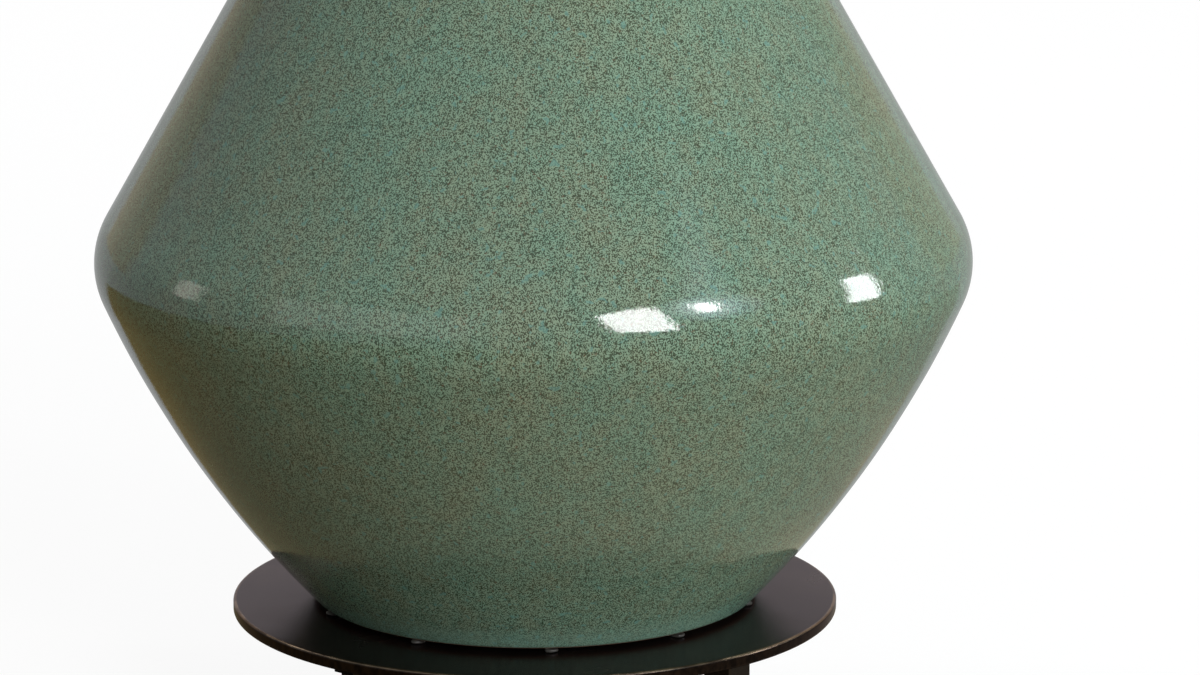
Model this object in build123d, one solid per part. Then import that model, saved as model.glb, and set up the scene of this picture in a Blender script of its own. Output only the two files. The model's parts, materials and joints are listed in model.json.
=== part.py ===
from build123d import *
import os
from math import atan2, cos, hypot, pi, radians, sin, sqrt, tan

# Table lamp with a glazed double-cone jar on a bronze plate with four bar legs.
# Millimetres. +Z is the lamp's axis, z = 0 is the table, -Y is the front, where the switch knob points.

# ---- driving dimensions: stand -------------------------------------------------------------------
pad_radius = 5.0
pad_height = 2.5
leg_side = 11.0
leg_height = 38.0
leg_circle_radius = 80.0
leg_edge_round = 0.6
leg_bearings = {"front_left": 225.0, "front_right": 315.0, "rear_left": 135.0, "rear_right": 45.0}
weld_leg = 2.0
plate_radius = 100.0
plate_thickness = 4.0
plate_arris = 0.9

# ---- driving dimensions: jar ---------------------------------------------------------------------
jar_pad_radius = 3.5
jar_pad_height = 1.2
jar_pad_circle_radius = 71.0
jar_pad_count = 10
jar_pad_first_bearing = 268.6
jar_height = 325.0
jar_wall = 6.0
belly_radius = 143.2
belly_height = 112.8
ridge_radius = 28.0
cone_angle = 29.9
lower_arc_radius = 350.0
lower_arc_start_angle = 23.8
foot_round = 4.4
inner_floor_round = 10.0
neck_radius = 42.0
neck_blend_radius = 25.0
rim_round = 2.4
jar_floor_hole_radius = 8.0

# ---- driving dimensions: pipe and its hardware ---------------------------------------------------
pipe_radius = 4.8
pipe_bore_radius = 3.4
pipe_clearance = 0.1
pipe_below_nut = 4.0
washer_radius = 14.0
washer_thickness = 1.5
nut_across_flats = 14.3
nut_height = 5.0
bush_flange_radius = 12.0
bush_flange_height = 2.0
gland_radius = 7.4
gland_bore_radius = 3.2
gland_lip_height = 3.0
gland_chamfer = 1.5
gland_grip_height = 3.0
gasket_height = 1.0
gasket_width = 5.0

# ---- driving dimensions: cap, neck and saddle ----------------------------------------------------
cap_overhang = 3.0
cap_skirt_height = 6.0
cap_dome_height = 7.0
cap_wall = 1.4
cap_seat_radius = 15.0
cap_shoulder_width = 4.2
cap_shoulder_rise = 3.5
neck_spool_height = 26.0
neck_spool_waist_radius = 8.5
neck_spool_bead_radius = 14.0
neck_spool_bead_height = 5.0
check_ring_radius = 16.0
check_ring_height = 4.0
saddle_thickness = 1.6
saddle_width = 12.0
saddle_flat_half = 13.0
saddle_tab_width = 4.0
saddle_rise = 10.0
saddle_half_span = 28.0

# ---- driving dimensions: socket ------------------------------------------------------------------
socket_wall = 0.8
socket_hub_radius = 8.5
socket_hub_height = 7.0
socket_dome_height = 10.0
socket_skirt_height = 5.0
socket_shell_radius = 16.2
socket_shell_height = 50.0
socket_bead_height = 2.4
socket_fit = 0.1
shell_engagement = 4.0
liner_wall = 0.7
body_radius = 13.6
body_height = 22.0
body_flat_depth = 1.7
body_flat_width = 13.6
body_flat_height = 11.0
screw_shell_bore_radius = 13.35
screw_shell_wall = 0.4
screw_shell_height = 24.0
screw_shell_floor_bore = 6.0
contact_height = 3.0
contact_radius = 3.0
contact_round = 1.0
set_screw_radius = 1.5
set_screw_length = 6.0
set_screw_slot = 0.75
terminal_screw_radius = 2.2
terminal_slot_width = 0.6
terminal_slot_depth = 0.6
knob_height_in_shell = 16.0
stem_radius = 2.2
stem_bore_depth = 7.0
stem_grip_length = 6.5
stem_window_clearance = 0.5
running_fit = 0.05
knob_radius = 6.5
knob_length = 13.0
knob_round = 1.1
knob_collar_length = 4.3
knob_paddle_thickness = 4.2
knob_gap = 1.0

# ---- driving dimensions: bulb --------------------------------------------------------------------
bulb_seat_gap = 0.3
bulb_tip_radius = 4.5
bulb_tip_height = 1.6
bulb_tip_round = 0.8
bulb_insulator_height = 3.0
bulb_insulator_radius = 11.6
bulb_cap_radius = 13.0
bulb_cap_height = 23.0
bulb_cap_wall = 0.5
bulb_thread_depth = 0.7
bulb_thread_pitch = 3.6
bulb_thread_turns = 5
bulb_globe_radius = 30.0
bulb_glass_height = 82.0
bulb_glass_wall = 1.0
bulb_neck_radius = 12.2
bulb_join_angle = -20.0
bulb_neck_pull = 20.5
bulb_join_pull = 15.0
bulb_stem_radius = 5.0
bulb_stem_height = 30.0
bulb_stem_tip_radius = 2.5
bulb_stem_taper_height = 15.0
filament_wire_radius = 0.35
filament_half_span = 11.0
filament_foot_half_span = 1.25
filament_bend = 1.4
filament_rise = 22.0

# ---- driving dimensions: harp --------------------------------------------------------------------
harp_wire_radius = 1.8
harp_height = 252.0
harp_half_width = 62.0
harp_leg_straight = 34.0
harp_flare_height = 38.0
harp_shoulder_drop = 82.0
harp_crown_half = 17.0
harp_bends = (18.0, 34.0, 62.0, 12.0)
harp_plate_radius = 8.0
harp_plate_round = 0.45
stud_radius = 3.15
stud_length = 15.0
stud_chamfer = 0.5
stud_clearance = 0.2
soft_gap = 0.3
ferrule_length = 12.0
ferrule_wall = 0.8
ferrule_fit = 0.15
tab_to_wire_gap = 0.2
washer_disc_radius = 7.5
washer_disc_height = 1.2

# ---- driving dimensions: shade -------------------------------------------------------------------
shade_top_radius = 177.8
shade_bottom_radius = 203.2
shade_height = 279.0
shade_recess = 12.7
fabric_thickness = 0.8
shade_liner_thickness = 0.6
ring_wire_radius = 1.3
trim_thickness = 0.5
trim_height = 9.0
spider_wire_radius = 1.7
spider_bearings = {"rear": 90.0, "left": 210.0, "right": 330.0}
spider_rise_run = 22.0
spider_bend = 12.0
hub_radius = 11.0
hub_thickness = 2.0

# ---- driving dimensions: finial ------------------------------------------------------------------
finial_base_radius = 8.0
finial_base_height = 17.0
finial_foot_height = 2.1
finial_foot_chamfer = 2.1
finial_foot_rise = 1.7
finial_waist_radius = 5.2
finial_neck_radius = 3.4
finial_ball_radius = 11.0
finial_bore_depth = 13.0

# ---- heights that follow from them ---------------------------------------------------------------
leg_top = pad_height + leg_height
plate_top = leg_top + plate_thickness
jar_floor = plate_top + jar_pad_height
jar_top = jar_floor + jar_height
cap_floor = jar_top + gasket_height
cap_top = cap_floor + cap_dome_height
spool_top = cap_top + neck_spool_height
ring_top = spool_top + check_ring_height
saddle_top = ring_top + saddle_thickness
socket_rim = saddle_top + socket_hub_height + socket_dome_height
socket_cap_top = socket_rim + socket_skirt_height
shell_floor = socket_cap_top - shell_engagement
shell_top = shell_floor + socket_shell_height
body_floor = socket_rim
body_top = body_floor + body_height
knob_axis = shell_floor + knob_height_in_shell
liner_inner = socket_shell_radius - socket_wall - socket_fit - liner_wall
bulb_floor = body_top + contact_height + bulb_seat_gap
cap_rim_low = bulb_floor + bulb_tip_height + bulb_insulator_height
glass_floor = cap_rim_low + bulb_cap_height
washer_floor = leg_top - washer_thickness
nut_floor = washer_floor - nut_height
pipe_end = nut_floor - pipe_below_nut
pipe_top = saddle_top + socket_hub_height
tab_floor = saddle_top + saddle_rise
tab_top = tab_floor + ferrule_length
harp_foot = tab_floor + soft_gap
harp_top = ring_top + harp_height
harp_plate_top = harp_top + harp_wire_radius
stud_washer_floor = harp_plate_top + soft_gap
hub_floor = stud_washer_floor + washer_disc_height + soft_gap
hub_top = hub_floor + hub_thickness
finial_floor = hub_top + soft_gap
shade_top = hub_floor + hub_thickness / 2 + shade_recess
shade_bottom = shade_top - shade_height
shade_slope = (shade_bottom_radius - shade_top_radius) / shade_height
harp_foot_x = saddle_half_span - saddle_thickness - tab_to_wire_gap - harp_wire_radius


# ---- helpers -------------------------------------------------------------------------------------
def turned(points):
    """Solid of revolution about Z from a closed outline of (radius, height) points."""
    outline = Polyline(*[(r, 0, z) for r, z in points], close=True)
    return revolve(make_face(outline), axis=Axis.Z)


def turned_from(edges):
    """Solid of revolution about Z from edges that close an outline in the XZ plane."""
    return revolve(make_face(edges), axis=Axis.Z)


def tube(outer, inner, low, high):
    """Straight round tube between two heights."""
    return turned([(inner, low), (outer, low), (outer, high), (inner, high)])


def at_bearing(shape, radius, bearing, height=0.0):
    """Copy of a shape moved out along +X by a radius and swung round Z to a bearing in degrees."""
    return Rot(0, 0, bearing) * Pos(radius, 0, height) * shape


def arc_edge(centre, radius, start, end):
    """Arc in the XZ plane about a centre (x, z), between two angles in radians above +X."""
    cx, cz = centre
    angles = (start, (start + end) / 2, end)
    return ThreePointArc(*[(cx + radius * cos(a), 0, cz + radius * sin(a)) for a in angles])


def line_edge(start, end):
    """Straight edge in the XZ plane between two (x, z) points."""
    return Line((start[0], 0, start[1]), (end[0], 0, end[1]))


def end_of(centre, radius, angle):
    """Point (x, z) on an arc at an angle in radians."""
    return centre[0] + radius * cos(angle), centre[1] + radius * sin(angle)


def swept_rod(path, radius):
    """Round rod along a path, started square to it."""
    return sweep(Plane(path @ 0, z_dir=path % 0) * Circle(radius), path=path)


def hex_prism(across_flats, height):
    """Upright hexagon on z = 0."""
    return extrude(RegularPolygon(across_flats / 2, 6, major_radius=False), height)


# ---- stand ---------------------------------------------------------------------------------------
def leg():
    """Square bar with softened long edges, standing on z = 0."""
    bar = extrude(Rectangle(leg_side, leg_side), leg_height)
    return chamfer(bar.edges().filter_by(Axis.Z), leg_edge_round)


def foot_pad():
    """Felt disc under a leg."""
    return extrude(Circle(pad_radius), pad_height)


def leg_welds():
    """Four square weld beads, each a sloping collar round the top of a leg, under the plate."""
    base = Rectangle(leg_side, leg_side)
    wide = offset(base, amount=weld_leg, kind=Kind.INTERSECTION)
    bead = loft([base, Pos(0, 0, weld_leg) * wide]) - extrude(base, weld_leg)
    return [at_bearing(bead, leg_circle_radius, bearing, leg_top - weld_leg)
            for bearing in leg_bearings.values()]


def base_plate():
    """Round plate with softened rims and a hole for the pipe."""
    disc = Pos(0, 0, leg_top) * extrude(Circle(plate_radius), plate_thickness)
    rims = disc.edges().filter_by(GeomType.CIRCLE)
    disc = fillet(rims, plate_arris)
    return disc - tube(pipe_radius + pipe_clearance, 0, leg_top, plate_top)


# ---- jar -----------------------------------------------------------------------------------------
def jar_outline(inset, floor, floor_round, top):
    """Half outline of the jar, drawn in by an inset, from its floor to its mouth.

    A rounded floor edge runs into one large arc, that into the ridge's arc, then the straight cone, then a
    hollow blend into the upright neck. Every pair of neighbours shares a tangent.
    """
    tilt = radians(cone_angle)
    handover = radians(lower_arc_start_angle)
    ridge = (belly_radius - ridge_radius, belly_height)
    reach = lower_arc_radius - ridge_radius
    lower = (ridge[0] - reach * cos(handover), ridge[1] + reach * sin(handover))
    lower_r = lower_arc_radius - inset
    corner_z = floor + floor_round
    corner_x = lower[0] + sqrt((lower_r - floor_round) ** 2 - (corner_z - lower[1]) ** 2)
    corner = (corner_x, corner_z)
    corner_angle = atan2(corner_z - lower[1], corner_x - lower[0])
    ridge_r = ridge_radius - inset
    cone_foot = end_of(ridge, ridge_radius, tilt)
    blend_x = neck_radius + neck_blend_radius
    blend_z = cone_foot[1] + (neck_blend_radius - (blend_x - cone_foot[0]) * cos(tilt)) / sin(tilt)
    blend = (blend_x, blend_z)
    blend_r = neck_blend_radius + inset
    neck_r = neck_radius - inset
    return [
        line_edge((0, top), (0, floor)),
        line_edge((0, floor), (corner_x, floor)),
        arc_edge(corner, floor_round, -pi / 2, corner_angle),
        arc_edge(lower, lower_r, corner_angle, -handover),
        arc_edge(ridge, ridge_r, -handover, tilt),
        line_edge(end_of(ridge, ridge_r, tilt), end_of(blend, blend_r, tilt + pi)),
        arc_edge(blend, blend_r, tilt + pi, pi),
        line_edge((neck_r, blend_z), (neck_r, top)),
        line_edge((neck_r, top), (0, top)),
    ]


def jar_body():
    """Hollow double-cone jar with an open neck and a hole in its floor."""
    outer = turned_from(jar_outline(0, 0, foot_round, jar_height))
    inner = turned_from(jar_outline(jar_wall, jar_wall, inner_floor_round, jar_height))
    jar = outer - inner
    rim = jar.edges().filter_by(GeomType.CIRCLE).sort_by(Axis.Z)[-2:]
    jar = fillet(rim, rim_round)
    hole = extrude(Circle(jar_floor_hole_radius), jar_wall)
    return Pos(0, 0, jar_floor) * (jar - hole)


def jar_pads():
    """Clear silicone dots between the plate and the jar's foot, a few showing past its edge."""
    dot = extrude(Circle(jar_pad_radius), jar_pad_height)
    step = 360 / jar_pad_count
    return [at_bearing(dot, jar_pad_circle_radius, jar_pad_first_bearing + i * step, plate_top)
            for i in range(jar_pad_count)]


def centring_bush():
    """Stepped bush that centres the jar's floor hole on the pipe."""
    bore = pipe_radius + pipe_clearance
    neck = jar_floor_hole_radius - pipe_clearance
    floor = jar_floor + jar_wall
    return turned([(bore, jar_floor), (neck, jar_floor), (neck, floor), (bush_flange_radius, floor),
                   (bush_flange_radius, floor + bush_flange_height), (bore, floor + bush_flange_height)])


# ---- pipe and its hardware -----------------------------------------------------------------------
def threaded_pipe():
    """Hollow rod that clamps the whole stack and carries the lead."""
    return tube(pipe_radius, pipe_bore_radius, pipe_end, pipe_top)


def plate_washer():
    """Flat washer under the plate."""
    return tube(washer_radius, pipe_radius + pipe_clearance, washer_floor, leg_top)


def plate_nut():
    """Hexagon nut that pulls the pipe down against the plate."""
    nut = Pos(0, 0, nut_floor) * hex_prism(nut_across_flats, nut_height)
    return nut - tube(pipe_radius, 0, nut_floor, washer_floor)


def cord_gland():
    """Smooth gland screwed over the pipe's lower end, with the bore that a lead would pass."""
    low = pipe_end - gland_lip_height
    grip = pipe_end + gland_grip_height
    return turned([(gland_bore_radius, low), (gland_radius - gland_chamfer, low),
                   (gland_radius, low + gland_chamfer), (gland_radius, grip), (pipe_radius, grip),
                   (pipe_radius, pipe_end), (gland_bore_radius, pipe_end)])


# ---- cap, neck and saddle ------------------------------------------------------------------------
def cap_gasket():
    """Flat ring that seats the cap on the jar's rim."""
    middle = neck_radius - jar_wall / 2
    return tube(middle + gasket_width / 2, middle - gasket_width / 2, jar_top, cap_floor)


def vase_cap():
    """Spun cap: a shallow dome with a rolled skirt outside the jar's rim and a hole for the pipe."""
    rim = neck_radius + cap_overhang
    skirt = cap_floor - cap_skirt_height
    bore = pipe_radius + pipe_clearance
    under = cap_top - cap_wall
    shoulder = cap_floor + cap_shoulder_rise
    return turned([(bore, under), (cap_seat_radius, under), (rim - cap_shoulder_width, cap_floor),
                   (rim - cap_wall, cap_floor), (rim - cap_wall, skirt), (rim, skirt),
                   (rim, cap_floor + cap_wall), (rim - cap_wall, shoulder),
                   (cap_seat_radius + cap_wall, cap_top), (bore, cap_top)])


def neck_spool():
    """Turned spool between the cap and the check ring: two beads and a waist drawn in by an arc."""
    bore = pipe_radius + pipe_clearance
    bead = neck_spool_bead_height
    low, high = cap_top + bead, spool_top - bead
    waist_side = ThreePointArc((neck_spool_bead_radius - bead / 2, 0, low),
                               (neck_spool_waist_radius, 0, (low + high) / 2),
                               (neck_spool_bead_radius - bead / 2, 0, high))
    bulge = bead / 2
    return turned_from([
        line_edge((bore, spool_top), (bore, cap_top)),
        line_edge((bore, cap_top), (neck_spool_bead_radius - bulge, cap_top)),
        arc_edge((neck_spool_bead_radius - bulge, cap_top + bulge), bulge, -pi / 2, pi / 2),
        waist_side,
        arc_edge((neck_spool_bead_radius - bulge, spool_top - bulge), bulge, -pi / 2, pi / 2),
        line_edge((neck_spool_bead_radius - bulge, spool_top), (bore, spool_top)),
    ])


def check_ring():
    """Round-edged washer under the saddle."""
    bore = pipe_radius + pipe_clearance
    edge = check_ring_height / 2
    return turned_from([
        line_edge((bore, ring_top), (bore, spool_top)),
        line_edge((bore, spool_top), (check_ring_radius - edge, spool_top)),
        arc_edge((check_ring_radius - edge, spool_top + edge), edge, -pi / 2, pi / 2),
        line_edge((check_ring_radius - edge, ring_top), (bore, ring_top)),
    ])


def harp_saddle():
    """Bent strip: a flat seat on the pipe, two rising arms, and a narrow upright tab at each end."""
    t = saddle_thickness
    slope = atan2(saddle_rise, saddle_half_span - saddle_flat_half)
    under = t * tan(slope / 2)
    knee = t * tan((pi / 2 - slope) / 2)
    arms = []
    for side in (-1, 1):
        strip = make_face(Polyline(
            (0, 0, ring_top), (side * (saddle_flat_half + under), 0, ring_top),
            (side * saddle_half_span, 0, tab_floor - knee), (side * saddle_half_span, 0, tab_top),
            (side * (saddle_half_span - t), 0, tab_top), (side * (saddle_half_span - t), 0, tab_floor),
            (side * saddle_flat_half, 0, saddle_top), (0, 0, saddle_top), close=True))
        arms.append(extrude(strip, saddle_width / 2, both=True))
    strap = arms[0] + arms[1]
    side_cut = Box(saddle_half_span, saddle_width, tab_top - tab_floor)
    cut_y = (saddle_tab_width + saddle_width) / 2
    cut_x = saddle_half_span
    cut_z = (tab_top + tab_floor) / 2
    for sx in (-1, 1):
        for sy in (-1, 1):
            strap -= Pos(sx * cut_x, sy * cut_y, cut_z) * side_cut
    return strap - tube(pipe_radius + pipe_clearance, 0, ring_top, saddle_top)


# ---- socket --------------------------------------------------------------------------------------
def socket_cap():
    """Cup of the socket: a hub on the pipe, a dome, and a skirt that holds the shell."""
    w = socket_wall
    skirt = socket_shell_radius + socket_fit + w
    hub_top_z = saddle_top + socket_hub_height
    cup = turned([(pipe_radius, saddle_top), (socket_hub_radius, saddle_top), (socket_hub_radius, hub_top_z),
                  (skirt, socket_rim), (skirt, socket_cap_top), (skirt - w, socket_cap_top),
                  (skirt - w, socket_rim), (socket_hub_radius - w, hub_top_z + w),
                  (pipe_radius, hub_top_z + w)])
    screw_hole = Cylinder(set_screw_radius, socket_hub_radius)
    return cup - Pos(socket_hub_radius, 0, saddle_top + socket_hub_height / 2) * Rot(0, 90, 0) * screw_hole


def socket_set_screw():
    """Small screw through the hub that stops the socket turning on the pipe."""
    screw = extrude(Circle(set_screw_radius), set_screw_length)
    slot = Pos(0, 0, set_screw_length) * Box(set_screw_radius * 2, set_screw_slot, set_screw_slot)
    return Pos(pipe_radius, 0, saddle_top + socket_hub_height / 2) * Rot(0, 90, 0) * (screw - slot)


def stem_window(radius):
    """Cutter along -Y at the knob's height, for what the switch stem passes through."""
    reach = socket_shell_radius * 2
    return Pos(0, 0, knob_axis) * Rot(90, 0, 0) * extrude(Circle(radius), reach)


def socket_shell():
    """Outer shell with a rolled bead above the cap and a rolled mouth."""
    r, w, bead = socket_shell_radius, socket_wall, socket_bead_height
    rise = socket_cap_top + bead / 2
    outline = [
        line_edge((r - w, shell_top), (r - w, shell_floor)),
        line_edge((r - w, shell_floor), (r, shell_floor)),
        line_edge((r, shell_floor), (r, rise)),
        arc_edge((r, rise + bead / 2), bead / 2, -pi / 2, pi / 2),
        line_edge((r, rise + bead), (r, shell_top - bead)),
        arc_edge((r, shell_top - bead / 2), bead / 2, -pi / 2, pi / 2),
        line_edge((r, shell_top), (r - w, shell_top)),
    ]
    return turned_from(outline) - stem_window(stem_radius + stem_window_clearance)


def socket_liner():
    """Fibre sleeve inside the shell."""
    sleeve = tube(liner_inner + liner_wall, liner_inner, body_floor, shell_top - socket_wall)
    return sleeve - stem_window(stem_radius + stem_window_clearance)


def socket_body():
    """Moulded body that holds the switch, the terminals and the screw shell."""
    block = Pos(0, 0, body_floor) * extrude(Circle(body_radius), body_height)
    flat = Box(body_flat_depth * 2, body_flat_width, body_flat_height)
    for side in (-1, 1):
        block -= Pos(side * body_radius, 0, body_floor + body_flat_height / 2) * flat
    reach = body_radius - stem_bore_depth
    drill = extrude(Circle(stem_radius + running_fit), body_radius)
    return block - Pos(0, -reach, knob_axis) * Rot(90, 0, 0) * drill


def terminal_screws():
    """Two slotted terminal screws that take up the room between the body's flats and the liner."""
    flat_x = body_radius - body_flat_depth
    length = sqrt(liner_inner ** 2 - terminal_screw_radius ** 2) - socket_fit - flat_x
    slot = Pos(0, 0, length) * Box(terminal_screw_radius * 2, terminal_slot_width, terminal_slot_depth * 2)
    screw = extrude(Circle(terminal_screw_radius), length) - slot
    height = body_floor + body_flat_height / 2
    return [Rot(0, 0, swing) * Pos(flat_x, 0, height) * Rot(0, 90, 0) * screw for swing in (0, 180)]


def screw_shell():
    """Thin threaded cup that takes the bulb's cap, standing on the body."""
    inner = screw_shell_bore_radius
    outer = inner + screw_shell_wall
    floor = body_top + screw_shell_wall
    top = body_top + screw_shell_height
    return turned([(screw_shell_floor_bore, body_top), (outer, body_top), (outer, top), (inner, top),
                   (inner, floor), (screw_shell_floor_bore, floor)])


def centre_contact():
    """Domed centre contact on the body."""
    base = extrude(Circle(contact_radius), contact_height)
    rim = base.edges().filter_by(GeomType.CIRCLE).sort_by(Axis.Z)[-1]
    return Pos(0, 0, body_top) * fillet(rim, contact_round)


def switch_stem():
    """Round stem of the rotary switch, along -Y."""
    start = body_radius - stem_bore_depth + soft_gap
    reach = socket_shell_radius + socket_bead_height / 2 + knob_gap + stem_grip_length
    return Pos(0, -start, knob_axis) * Rot(90, 0, 0) * extrude(Circle(stem_radius), reach - start)


def switch_knob():
    """Turn knob on the stem: a round collar that flattens into a finger paddle."""
    start = socket_shell_radius + socket_bead_height / 2 + knob_gap
    collar = Cylinder(knob_radius, knob_length, align=(Align.CENTER, Align.CENTER, Align.MIN))
    collar = fillet(collar.edges().filter_by(GeomType.CIRCLE), knob_round)
    side = Box(knob_radius * 2, knob_radius, knob_length, align=(Align.CENTER, Align.MIN, Align.MIN))
    for turn in (0, 180):
        collar -= Rot(0, 0, turn) * Pos(0, knob_paddle_thickness / 2, knob_collar_length) * side
    bore = extrude(Circle(stem_radius), stem_grip_length)
    return Pos(0, -start, knob_axis) * Rot(90, 0, 0) * (collar - bore)


# ---- bulb ----------------------------------------------------------------------------------------
def bulb_contact():
    """Solder tip of the bulb."""
    tip = Pos(0, 0, bulb_floor) * extrude(Circle(bulb_tip_radius), bulb_tip_height)
    rim = tip.edges().filter_by(GeomType.CIRCLE).sort_by(Axis.Z)[0]
    return fillet(rim, bulb_tip_round)


def bulb_insulator():
    """Black glass cone between the tip and the cap."""
    low = bulb_floor + bulb_tip_height
    return turned([(0, low), (bulb_tip_radius, low), (bulb_insulator_radius, cap_rim_low),
                   (0, cap_rim_low)])


def bulb_cap():
    """Screw cap: rounded thread rings on a thin can."""
    root = bulb_cap_radius - bulb_thread_depth
    half = bulb_thread_pitch / 2
    base = cap_rim_low + half
    edges = [line_edge((root - bulb_cap_wall, cap_rim_low), (root, cap_rim_low)),
             line_edge((root, cap_rim_low), (root, base))]
    for i in range(bulb_thread_turns):
        low, crest, high = [base + i * bulb_thread_pitch + step * half for step in range(3)]
        edges.append(ThreePointArc((root, 0, low), (bulb_cap_radius, 0, crest), (root, 0, high)))
    edges.append(line_edge((root, base + bulb_thread_turns * bulb_thread_pitch), (root, glass_floor)))
    edges.append(line_edge((root, glass_floor), (root - bulb_cap_wall, glass_floor)))
    edges.append(line_edge((root - bulb_cap_wall, glass_floor), (root - bulb_cap_wall, cap_rim_low)))
    return turned_from(edges)


def bulb_side(inset):
    """Half outline of the glass: a neck, a flare that leaves it upright, and a globe."""
    globe_z = glass_floor + bulb_glass_height - bulb_globe_radius
    r = bulb_globe_radius - inset
    join = radians(bulb_join_angle)
    start = (bulb_neck_radius - inset, glass_floor)
    shoulder = end_of((0, globe_z), r, join)
    pull_x, pull_z = bulb_join_pull * sin(join), bulb_join_pull * cos(join)
    flare = Bezier((start[0], 0, start[1]), (start[0], 0, start[1] + bulb_neck_pull),
                   (shoulder[0] + pull_x, 0, shoulder[1] - pull_z), (shoulder[0], 0, shoulder[1]))
    return start, flare, arc_edge((0, globe_z), r, join, pi / 2), (0, globe_z + r)


def bulb_glass():
    """Frosted globe, hollow, closed at the neck by its flare disc."""
    start, flare, dome, crown = bulb_side(0)
    outer = turned_from([line_edge(crown, (0, glass_floor)), line_edge((0, glass_floor), start), flare, dome])
    start, flare, dome, crown = bulb_side(bulb_glass_wall)
    inner = turned_from([line_edge(crown, (0, glass_floor)), line_edge((0, glass_floor), start), flare, dome])
    disc = Pos(0, 0, glass_floor) * extrude(Circle(bulb_neck_radius), bulb_glass_wall)
    return outer - inner + (disc & outer)


def bulb_stem():
    """Glass stem that carries the filament."""
    low = glass_floor + bulb_glass_wall
    top = low + bulb_stem_height
    return turned([(0, low), (bulb_stem_radius, low), (bulb_stem_tip_radius, low + bulb_stem_taper_height),
                   (bulb_stem_tip_radius, top), (0, top)])


def bulb_filament():
    """Support wires that spread from the stem and carry the filament between their tips."""
    low = glass_floor + bulb_glass_wall + bulb_stem_height
    high = low + filament_rise
    path = FilletPolyline((-filament_foot_half_span, 0, low), (-filament_half_span, 0, high),
                          (filament_half_span, 0, high), (filament_foot_half_span, 0, low),
                          radius=filament_bend)
    rod = swept_rod(path, filament_wire_radius)
    return rod - tube(bulb_stem_tip_radius, 0, low - bulb_stem_height, low)


# ---- harp ----------------------------------------------------------------------------------------
def harp_path():
    """Centre line of the harp: two upright legs, flares, long sides, shoulders and a flat crown."""
    flare_top = harp_foot + harp_leg_straight + harp_flare_height
    half = [(harp_foot_x, harp_foot), (harp_foot_x, harp_foot + harp_leg_straight),
            (harp_half_width, flare_top), (harp_half_width, harp_top - harp_shoulder_drop),
            (harp_crown_half, harp_top)]
    points = [(-x, 0, z) for x, z in half] + [(x, 0, z) for x, z in reversed(half)]
    return FilletPolyline(*points, radius=list(harp_bends) + list(reversed(harp_bends)))


def harp_wire():
    """Bent wire of the harp, cut away where its top plate is brazed in."""
    wire = swept_rod(harp_path(), harp_wire_radius)
    return wire - tube(harp_plate_radius, 0, harp_top - harp_wire_radius, harp_plate_top)


def harp_top_plate():
    """Flattened disc at the crown that the stud stands on."""
    disc = tube(harp_plate_radius, stud_radius, harp_top - harp_wire_radius, harp_plate_top)
    rims = disc.edges().filter_by(GeomType.CIRCLE).filter_by(lambda e: e.radius > stud_radius * 2)
    return fillet(rims, harp_plate_round)


def harp_stud():
    """Stud that carries the shade and takes the finial."""
    low = harp_top - harp_wire_radius
    stud = Pos(0, 0, low) * extrude(Circle(stud_radius), harp_plate_top - low + stud_length)
    tip = stud.edges().filter_by(GeomType.CIRCLE).sort_by(Axis.Z)[-1]
    return chamfer(tip, stud_chamfer)


def ferrule(side):
    """Sleeve that slides down over a harp leg and the saddle's tab."""
    reach = harp_wire_radius * 2 + tab_to_wire_gap + saddle_thickness
    centre = saddle_half_span - reach / 2
    inner = hypot(reach / 2, saddle_tab_width / 2) + ferrule_fit
    sleeve = tube(inner + ferrule_wall, inner, harp_foot, harp_foot + ferrule_length)
    return Pos(side * centre, 0, 0) * sleeve


def stud_washer():
    """Loose washer on the stud, which the shade turns on."""
    return tube(washer_disc_radius, stud_radius + stud_clearance, stud_washer_floor,
                stud_washer_floor + washer_disc_height)


# ---- shade ---------------------------------------------------------------------------------------
def shade_radius(height):
    """Outside radius of the shade at a height."""
    return shade_bottom_radius - (height - shade_bottom) * shade_slope


def shade_sleeve(outer_offset, thickness, low, high):
    """Tapered sleeve that follows the shade's side, set in from it, between two heights."""
    outer_low = shade_radius(low) - outer_offset
    outer_high = shade_radius(high) - outer_offset
    return turned([(outer_low - thickness, low), (outer_low, low), (outer_high, high),
                   (outer_high - thickness, high)])


def shade_fabric():
    """Linen skin of the shade."""
    return shade_sleeve(0, fabric_thickness, shade_bottom, shade_top)


def shade_liner():
    """Stiff lining sheet behind the linen."""
    return shade_sleeve(fabric_thickness, shade_liner_thickness, shade_bottom, shade_top)


def shade_trim(low, high):
    """Linen binding round an edge of the shade."""
    return shade_sleeve(-trim_thickness, trim_thickness, low, high)


def wire_ring(height):
    """Wire ring that stiffens an edge of the shade, inside the lining."""
    wall = fabric_thickness + shade_liner_thickness
    centre = shade_radius(height) - wall - ring_wire_radius * sqrt(1 + shade_slope ** 2)
    return Pos(0, 0, height) * Torus(centre, ring_wire_radius)


def spider_hub():
    """Flat ring on the stud that the three arms meet."""
    return tube(hub_radius, stud_radius + stud_clearance, hub_floor, hub_top)


def spider_arm(bearing):
    """Wire arm from the hub, level and then rising to the top ring."""
    ring_z = shade_top - ring_wire_radius
    end = shade_radius(ring_z) - fabric_thickness - shade_liner_thickness - ring_wire_radius
    level = (hub_floor + hub_top) / 2
    path = FilletPolyline((hub_radius / 2, 0, level), (end - spider_rise_run, 0, level), (end, 0, ring_z),
                          radius=spider_bend)
    arm = Rot(0, 0, bearing) * swept_rod(path, spider_wire_radius)
    return arm - spider_hub_block() - wire_ring(ring_z)


def spider_hub_block():
    """Room that the hub takes, taller than the arms, so that each arm starts at the hub's rim."""
    margin = spider_wire_radius * 2
    return tube(hub_radius, 0, hub_floor - margin, hub_top + margin)


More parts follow.
